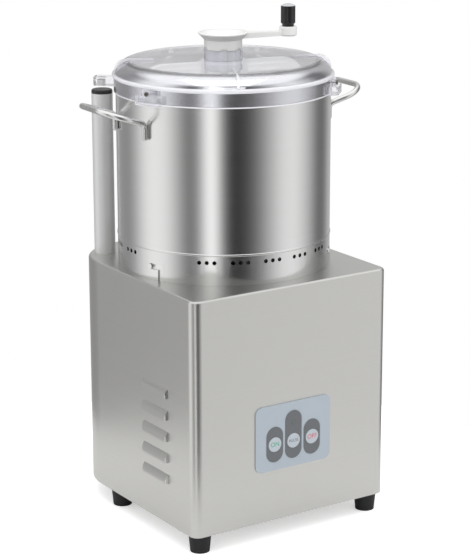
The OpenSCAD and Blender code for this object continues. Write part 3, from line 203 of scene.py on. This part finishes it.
def make_milk_and_sheen_group():
    """How milky the lid is at each place: painted sheen on the skirt edge, bead, fins and flat top, milky
    white where highlights and room reflections fall, and the plastic's own faint haze on the rest.
    """
    inputs = [(label, "NodeSocketFloat", 0.0) for label in ("Edge", "Bead", "Top", "Bend centre")]
    inputs.append(("Bend radius", "NodeSocketFloat", 0.02))
    tree, inp, out = new_group("lid_milk_and_painted_sheen", inputs, ("Milk",))
    parts = add(tree, "ShaderNodeSeparateXYZ")
    tree.links.new(object_place(tree), parts.inputs[0])
    level = parts.outputs["Z"]

    def length(first, second):
        squares = [math_node(tree, "MULTIPLY", value, value) for value in (first, second)]
        return math_node(tree, "SQRT", math_node(tree, "ADD", *squares))

    def past(value, limit):
        return math_node(tree, "MAXIMUM", math_node(tree, "SUBTRACT", value, limit), 0.0)

    def near(height, half):
        away = math_node(tree, "ABSOLUTE", math_node(tree, "SUBTRACT", level, height))
        return math_node(tree, "LESS_THAN", away, half)

    radius = length(parts.outputs["X"], parts.outputs["Y"])
    bend_low = math_node(tree, "SUBTRACT", inp.outputs["Top"], inp.outputs["Bend radius"])
    above = math_node(tree, "GREATER_THAN", level, bend_low)
    reach = length(past(radius, inp.outputs["Bend centre"]), past(level, bend_low))
    proud = math_node(tree, "SUBTRACT", reach, inp.outputs["Bend radius"])
    fin = math_node(tree, "MULTIPLY", math_node(tree, "GREATER_THAN", proud, FIN_PROUD), above)
    inside = math_node(tree, "LESS_THAN", radius, inp.outputs["Bend centre"])
    flat = math_node(tree, "MULTIPLY", inside, above)
    # The bead, edge, fin and top masks paint sheen: milkiness there stands in for highlights and
    # reflections.
    masks = [
        (near(inp.outputs["Bead"], BEAD_HALF), EDGE_PAINTED_SHEEN),
        (near(inp.outputs["Edge"], EDGE_HALF), EDGE_PAINTED_SHEEN),
        (fin, FIN_PAINTED_SHEEN),
        (flat, TOP_PAINTED_SHEEN),
    ]
    milk_and_sheen = CLEAR_MILK
    for mask, share in masks:
        milk_and_sheen = math_node(tree, "MAXIMUM", math_node(tree, "MULTIPLY", mask, share), milk_and_sheen)
    tree.links.new(milk_and_sheen, out.inputs["Milk"])
    return tree


GRAIN = make_grain_group()
SKIN = make_mould_group()
MILK_AND_SHEEN = make_milk_and_sheen_group()

# Span of the groups' tone over which colour and roughness change, how much roughness
# changes over it, and the depth of their relief
TONE_SPAN = (0.25, 0.75)
METAL_ROUGH_SHARE = 0.12
PLASTIC_ROUGH_SHARE = 0.1
RELIEF_DEPTH = 0.0002


def blank_material(name):
    material = bpy.data.materials.new(name)
    material.use_nodes = True
    tree = material.node_tree
    tree.nodes.clear()
    out = add(tree, "ShaderNodeOutputMaterial")
    shader = add(tree, "ShaderNodeBsdfPrincipled")
    tree.links.new(shader.outputs[0], out.inputs["Surface"])
    return material, tree, shader, out


def tone_color(tree, tone, color, share):
    """Colour that goes from a darker to a lighter neighbour over the tone's span."""
    ramp = add(tree, "ShaderNodeValToRGB")
    dark = [channel * (1 - share) for channel in color]
    light = [min(1, channel * (1 + share)) for channel in color]
    for stop, position, shade in zip(ramp.color_ramp.elements, TONE_SPAN, (dark, light)):
        stop.position = position
        stop.color = (*shade, 1)
    tree.links.new(tone, ramp.inputs[0])
    return ramp.outputs[0]


def finish_surface(tree, shader, group, color, share, rough, rough_share, bump):
    """Links a tone group's outputs to colour, roughness and bump."""
    tone = group.outputs["Tone"]
    tree.links.new(tone_color(tree, tone, color, share), shader.inputs["Base Color"])
    rough_span = (rough * (1 - rough_share), rough * (1 + rough_share))
    tree.links.new(map_range(tree, tone, TONE_SPAN, rough_span), shader.inputs["Roughness"])
    relief = add(tree, "ShaderNodeBump")
    relief.inputs["Strength"].default_value = bump
    relief.inputs["Distance"].default_value = RELIEF_DEPTH
    tree.links.new(group.outputs["Height"], relief.inputs["Height"])
    tree.links.new(relief.outputs[0], shader.inputs["Normal"])


def brushed(name, color, rough, lines=(3, 3, 900), contrast=0.5, share=0.06, aniso=0.0, bump=0.02):
    """Brushed or turned metal; lines says how often the grain changes along each axis."""
    material, tree, shader, _ = blank_material(name)
    group = add(tree, "ShaderNodeGroup", node_tree=GRAIN)
    group.inputs["Lines"].default_value = lines
    group.inputs["Contrast"].default_value = contrast
    shader.inputs["Metallic"].default_value = 1.0
    finish_surface(tree, shader, group, color, share, rough, METAL_ROUGH_SHARE, bump)
    if aniso:
        shader.inputs["Anisotropic"].default_value = aniso
        around = add(tree, "ShaderNodeTangent", direction_type="RADIAL", axis="Z")
        tree.links.new(around.outputs[0], shader.inputs["Tangent"])
    return material


def moulded(name, color, rough, size=400.0, contrast=0.3, share=0.05, bump=0.05, coat=0.0, glow=0.0):
    """Opaque moulded plastic, film or rubber; glow is a painted glow, emission on a part that is no lamp.
    """
    material, tree, shader, _ = blank_material(name)
    group = add(tree, "ShaderNodeGroup", node_tree=SKIN)
    group.inputs["Size"].default_value = size
    group.inputs["Contrast"].default_value = contrast
    shader.inputs["Coat Weight"].default_value = coat
    shader.inputs["Emission Color"].default_value = WHITE
    shader.inputs["Emission Strength"].default_value = glow
    finish_surface(tree, shader, group, color, share, rough, PLASTIC_ROUGH_SHARE, bump)
    return material


# Clear plastic: size, tone share and height of its faint ripple, and the tint of light that passes
CLEAR_RIPPLE_SIZE = 60.0
CLEAR_SHARE = 0.01
CLEAR_BUMP = 0.01
PASSED_LIGHT = (0.95, 0.95, 0.96, 1)


def clear_plastic(name, color, rough, weight=0.90, ior=1.5):
    """Clear or milky moulding; lamps and soft light pass it, so what is under it stays lit."""
    material, tree, shader, out = blank_material(name)
    group = add(tree, "ShaderNodeGroup", node_tree=SKIN)
    group.inputs["Size"].default_value = CLEAR_RIPPLE_SIZE
    shader.inputs["Transmission Weight"].default_value = weight
    shader.inputs["IOR"].default_value = ior
    finish_surface(tree, shader, group, color, CLEAR_SHARE, rough, PLASTIC_ROUGH_SHARE, CLEAR_BUMP)
    path = add(tree, "ShaderNodeLightPath")
    clear = add(tree, "ShaderNodeBsdfTransparent")
    clear.inputs["Color"].default_value = PASSED_LIGHT
    passing = math_node(tree, "MAXIMUM", path.outputs["Is Shadow Ray"], path.outputs["Is Diffuse Ray"])
    tree.links.new(mix_shaders(tree, passing, shader.outputs[0], clear.outputs[0]), out.inputs["Surface"])
    return material


# The lid: level of its skirt edge, rise of its flat top over that, drop from there to the bead,
# its radius and the radius of its shoulder's bend
LID_EDGE_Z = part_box("lid")[0][2]
LID_RISE = 0.0428
BEAD_DROP = 0.020
LID_R = 0.1525
LID_BEND_R = 0.0235


def make_lid_plastic():
    """Clear plastic whose transmission the milk group takes away place by place, painting sheen as milky
    white onto its bead, edge, fins and top.
    """
    material = clear_plastic("lid_plastic_with_painted_sheen", (0.955, 0.958, 0.992), 0.02)
    tree = material.node_tree
    milk_and_sheen = add(tree, "ShaderNodeGroup", node_tree=MILK_AND_SHEEN)
    top_z = LID_EDGE_Z + LID_RISE
    milk_and_sheen.inputs["Edge"].default_value = LID_EDGE_Z
    milk_and_sheen.inputs["Bead"].default_value = top_z - BEAD_DROP
    milk_and_sheen.inputs["Top"].default_value = top_z
    milk_and_sheen.inputs["Bend centre"].default_value = LID_R - LID_BEND_R
    milk_and_sheen.inputs["Bend radius"].default_value = LID_BEND_R
    clearness = math_node(tree, "SUBTRACT", 1.0, milk_and_sheen.outputs["Milk"])
    tree.links.new(clearness, tree.nodes["Principled BSDF"].inputs["Transmission Weight"])
    return material


# Finishes by the record's material slots
METALS = {
    "housing_steel": dict(color=(0.625, 0.62, 0.60), rough=0.34, share=0.04),
    "bowl_steel": dict(color=(0.72, 0.72, 0.715), rough=0.195, contrast=0.6, share=0.04, aniso=0.5),
    "polished_steel": dict(color=(0.80, 0.80, 0.79), rough=0.07, lines=(3, 3, 400), contrast=0.6,
                           share=0.02, bump=0.004),
    "rod_steel": dict(color=(0.76, 0.76, 0.75), rough=0.28, lines=(500, 500, 60), share=0.03),
    "bright_steel": dict(color=(0.74, 0.74, 0.73), rough=0.24, share=0.05),
    "blade_steel": dict(color=(0.76, 0.77, 0.78), rough=0.18, lines=(700, 30, 30), share=0.05),
    "core_steel": dict(color=(0.16, 0.16, 0.17), rough=0.45, lines=(3, 3, 2000), contrast=1.0, share=0.2),
    "cast_alloy": dict(color=(0.55, 0.56, 0.57), rough=0.42, lines=(250, 250, 250), share=0.08, bump=0.15),
    "post_alloy": dict(color=(0.84, 0.845, 0.84), rough=0.62, lines=(700, 700, 4), share=0.02),
    "winding_copper": dict(color=(0.60, 0.26, 0.10), rough=0.35, lines=(20, 20, 900), contrast=1.0,
                           share=0.2),
}
MOULDINGS = {
    "painted_sheet": dict(color=(0.06, 0.065, 0.07), rough=0.4),
    "foot_rubber": dict(color=(0.004, 0.004, 0.005), rough=0.60, size=500.0, bump=0.2),
    "seal_rubber": dict(color=(0.01, 0.01, 0.01), rough=0.5),
    "panel_film": dict(color=(0.412, 0.466, 0.518), rough=0.42, size=900.0, bump=0.04),
    "bezel_film": dict(color=(0.130, 0.138, 0.150), rough=0.40, size=900.0, bump=0.04),
    "key_film": dict(color=(0.475, 0.520, 0.570), rough=0.38, size=900.0, bump=0.03),
    "lamp_lens": dict(color=(0.10, 0.13, 0.12), rough=0.2, coat=0.4),
    "circuit_board": dict(color=(0.01, 0.10, 0.04), rough=0.35, coat=0.3),
    "black_plastic": dict(color=(0.010, 0.010, 0.012), rough=0.35, size=600.0, bump=0.08),
    "white_plastic": dict(color=(0.86, 0.86, 0.85), rough=0.32, share=0.02, bump=0.02),
    "cap_plastic": dict(color=(0.50, 0.52, 0.54), rough=0.35),
}
CLEARS = {
    "milk_plastic": dict(color=(0.84, 0.85, 0.88), rough=0.35, weight=0.30),
    "clear_plastic": dict(color=(0.955, 0.955, 0.985), rough=0.02),
}
FINISHES = {}
for maker, values_by_slot in ((brushed, METALS), (moulded, MOULDINGS), (clear_plastic, CLEARS)):
    for slot_name, slot_values in values_by_slot.items():
        FINISHES[slot_name] = maker(slot_name, **slot_values)

# Finishes of single nodes that differ from their slot's
BLOCK_PLASTIC = clear_plastic("block_plastic", (0.93, 0.93, 0.96), 0.06, weight=0.85, ior=1.2)
OWN_FINISHES = {
    "lid": make_lid_plastic(),
    "lid_catches": BLOCK_PLASTIC,
    "magnet_block": BLOCK_PLASTIC,
    "lid_magnet": moulded("magnet_coat", (0.52, 0.50, 0.48), 0.4),
    "catch_screws": moulded("screw_oxide", (0.10, 0.085, 0.07), 0.35),
    # The scraper arms' glow is a painted glow: white emission that brightens plastic which is no lamp.
    "scraper_arms": moulded("arm_plastic_painted_glow", (0.95, 0.95, 0.94), 0.32, share=0.01, bump=0.02, glow=0.20),
}


def dress_cad():
    """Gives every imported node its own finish, or the one that its record slot names."""
    slots = {entry["node"]: entry["material_slot"] for entry in frame["record"]["subparts"]}
    for name, obj in frame["nodes"].items():
        for slot in obj.material_slots:
            slot.material = OWN_FINISHES.get(name, FINISHES[slots[name]])


dress_cad()

# Studio: a white floor disc and a softly lit room whose white cards and dark gaps
# stand at fixed bearings round the machine, as its steel mirrors them
CAMERA_BEARING = math.atan2(CAMERA_PLACE.y, CAMERA_PLACE.x)
EVEN_LIGHT = 0.92
CEILING_LIGHT = 1.25
CEILING_SPAN = (0.50, 0.76)
FLOOR_R = 0.48
FLOOR_SEGMENTS = 96
FLOOR_COLOR = (0.90, 0.90, 0.90, 1)
FLOOR_ROUGH = 0.9
FLOOR_GLOW = 0.45

# Bearing from the camera's own, in degrees (plus to its right), and the card's brightness
CARDS = [
    (-180, 0.62), (-153, 0.38), (-125, 0.30), (-114, 0.40), (-103, 0.66), (-92, 0.98),
    (-81, 1.10), (-66, 1.02), (-56, 0.76), (-46, 0.40), (-38, 0.16), (-30, 0.20),
    (-24, 0.55), (-18, 1.20), (-12, 1.55), (-6, 0.90), (-1, 0.26), (4, 0.03),
    (10, 0.010), (16, 0.020), (28, 0.10), (38, 0.25), (51, 0.58), (65, 0.92),
    (81, 1.02), (98, 0.70), (108, 0.44), (119, 0.18), (133, 0.16), (153, 0.55),
    (180, 0.62),
]


def background(tree, strength, color=WHITE):
    node = add(tree, "ShaderNodeBackground")
    feed(tree, node.inputs["Color"], color)
    node.inputs["Strength"].default_value = strength
    return node.outputs[0]


def card_light(tree, along_x, along_y):
    """Background whose brightness follows the bearing of each direction."""
    bearing = math_node(tree, "ARCTAN2", along_y, along_x)
    turned = math_node(tree, "ADD", bearing, math.tau - CAMERA_BEARING + math.pi)
    share = math_node(tree, "FRACT", math_node(tree, "DIVIDE", turned, math.tau))
    ramp = add(tree, "ShaderNodeValToRGB")
    tree.links.new(share, ramp.inputs[0])
    stops = ramp.color_ramp.elements
    while len(stops) < len(CARDS):
        stops.new(0.5)
    top = max(level for _, level in CARDS)
    for stop, (degrees, level) in zip(stops, CARDS):
        stop.position = (degrees + 180) / 360
        stop.color = (level / top, level / top, level / top, 1)
    return background(tree, top, ramp.outputs[0])


def make_room():
    """White where the camera sees it, even for soft light, cards and ceiling where it is mirrored."""
    world = bpy.data.worlds.new("room")
    bpy.context.scene.world = world
    world.use_nodes = True
    tree = world.node_tree
    tree.nodes.clear()
    parts = add(tree, "ShaderNodeSeparateXYZ")
    tree.links.new(add(tree, "ShaderNodeTexCoord").outputs["Generated"], parts.inputs[0])
    height = map_range(tree, parts.outputs["Z"], CEILING_SPAN, interpolation="SMOOTHSTEP")
    walls = card_light(tree, parts.outputs["X"], parts.outputs["Y"])
    mirrored = mix_shaders(tree, height, walls, background(tree, CEILING_LIGHT))
    path = add(tree, "ShaderNodeLightPath")
    lit = mix_shaders(tree, path.outputs["Is Diffuse Ray"], mirrored, background(tree, EVEN_LIGHT))
    bounces = math_node(tree, "ADD", path.outputs["Glossy Depth"], path.outputs["Diffuse Depth"])
    straight = math_node(tree, "LESS_THAN", bounces, 0.5)
    through = math_node(tree, "MULTIPLY", path.outputs["Is Transmission Ray"], straight)
    seen = math_node(tree, "MAXIMUM", path.outputs["Is Camera Ray"], through)
    out = add(tree, "ShaderNodeOutputWorld")
    tree.links.new(mix_shaders(tree, seen, lit, background(tree, 1.0)), out.inputs[0])


def make_floor():
    mesh = bpy.data.meshes.new("floor")
    shape = bmesh.new()
    bmesh.ops.create_circle(shape, cap_ends=True, segments=FLOOR_SEGMENTS, radius=FLOOR_R)
    shape.to_mesh(mesh)
    shape.free()
    floor = bpy.data.objects.new("floor", mesh)
    bpy.context.scene.collection.objects.link(floor)
    material, tree, shader, out = blank_material("floor_white")
    shader.inputs["Base Color"].default_value = FLOOR_COLOR
    shader.inputs["Roughness"].default_value = FLOOR_ROUGH
    shader.inputs["Specular IOR Level"].default_value = 0.0
    path = add(tree, "ShaderNodeLightPath")
    glow = add(tree, "ShaderNodeEmission")
    lift = math_node(tree, "MULTIPLY", path.outputs["Is Camera Ray"], FLOOR_GLOW)
    tree.links.new(lift, glow.inputs["Strength"])
    both = add(tree, "ShaderNodeAddShader")
    tree.links.new(shader.outputs[0], both.inputs[0])
    tree.links.new(glow.outputs[0], both.inputs[1])
    tree.links.new(both.outputs[0], out.inputs["Surface"])
    mesh.materials.append(material)


# Lamps: name, place, width and height, power; all aim at the machine's middle
LAMPS = [
    ("top_light", Vector((-0.4, -0.6, 2.6)), (2.0, 2.0), 14),
    ("front_light", Vector((-1.2, -2.4, 1.6)), (1.6, 1.2), 7),
]
LAMP_AIM = Vector((0, 0, 0.4))


def make_lamp(name, place, size, power):
    """Square-cornered area lamp that shiny surfaces don't mirror."""
    data = bpy.data.lights.new(name, "AREA")
    data.shape = "RECTANGLE"
    data.size, data.size_y = size
    data.energy = power
    lamp = bpy.data.objects.new(name, data)
    bpy.context.scene.collection.objects.link(lamp)
    lamp.location = place
    lamp.rotation_euler = turn_towards(place, LAMP_AIM).to_euler()
    lamp.visible_glossy = False


make_room()
make_floor()
for lamp_values in LAMPS:
    make_lamp(*lamp_values)

# Words on the keys, cut from thin film: body, word, letter height and ink by node
KEY_WORDS = {
    "key_on": ("on_key", "ON", 0.0068, (0.02, 0.38, 0.17)),
    "key_pulse": ("pulse_key", "PULSE", 0.0045, (0.12, 0.12, 0.13)),
    "key_off": ("off_key", "OFF", 0.0068, (0.62, 0.05, 0.09)),
}
FONT_PER_HEIGHT = 1.35
WORD_LIFT = 0.00005


def make_word(name, word, font_size):
    """Flat mesh of a word in the XY plane, centred on the origin."""
    curve = bpy.data.curves.new(name, "FONT")
    curve.body = word
    curve.size = font_size
    curve.align_x = "CENTER"
    curve.align_y = "CENTER"
    made = bpy.data.objects.new(name, curve)
    bpy.context.scene.collection.objects.link(made)
    bpy.context.view_layer.update()
    mesh = bpy.data.meshes.new_from_object(made)
    bpy.data.objects.remove(made)
    return mesh


def make_key_words():
    """Stands each word just proud of its key's face."""
    for node, (body, word, height, ink) in KEY_WORDS.items():
        low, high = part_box(node)
        middle = (Vector(low) + Vector(high)) / 2
        mesh = make_word("word_" + body, word, height * FONT_PER_HEIGHT)
        upright = Matrix.Rotation(math.pi / 2, 4, "X")
        mesh.transform(Matrix.Translation((middle.x, low[1] - WORD_LIFT, middle.z)) @ upright)
        mesh.materials.clear()
        mesh.materials.append(moulded("ink_" + body, ink, 0.5, share=0.08))
        piece = bpy.data.objects.new("word_" + body, mesh)
        bpy.context.scene.collection.objects.link(piece)
        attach(piece, body)


make_key_words()

# Handle rods: radius and fineness of their half-ball ends, and the distances
# under which two points count as the same or as level
ROD_R = 0.004
BALL_SEGMENTS = 32
BALL_RINGS = 16
SAME_POINT = 0.00001
SAME_LEVEL = 0.0001


def round_rod_ends(node):
    """Smooth copy of a handle whose two leg ends are half balls instead of flat cuts."""
    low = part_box(node)[0][2]
    mesh = frame["nodes"][node].data.copy()
    shape = bmesh.new()
    shape.from_mesh(mesh)
    bmesh.ops.remove_doubles(shape, verts=shape.verts, dist=SAME_POINT)
    bmesh.ops.recalc_face_normals(shape, faces=shape.faces)
    ends = [face for face in shape.faces if all(abs(vert.co.z - low) < SAME_LEVEL for vert in face.verts)]
    rim = [vert for vert in shape.verts if any(face in ends for face in vert.link_faces)]
    bmesh.ops.delete(shape, geom=ends, context="FACES_ONLY")
    between = sum(vert.co.y for vert in rim) / len(rim)
    legs = {}
    for vert in rim:
        legs.setdefault(vert.co.y > between, []).append(vert)
    for circle in legs.values():
        middle = sum((vert.co for vert in circle), Vector()) / len(circle)
        for vert in circle:
            vert.co.z += ROD_R
        bmesh.ops.create_uvsphere(shape, u_segments=BALL_SEGMENTS, v_segments=BALL_RINGS, radius=ROD_R,
                                  matrix=Matrix.Translation(middle + Vector((0, 0, ROD_R))))
    for face in shape.faces:
        face.smooth = True
    shape.to_mesh(mesh)
    shape.free()
    mesh.materials.clear()
    mesh.materials.append(FINISHES["rod_steel"])
    piece = bpy.data.objects.new("rod_" + node, mesh)
    bpy.context.scene.collection.objects.link(piece)
    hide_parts(node)
    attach(piece, "bowl")


for handle_node in ("handle_left", "handle_right"):
    round_rod_ends(handle_node)
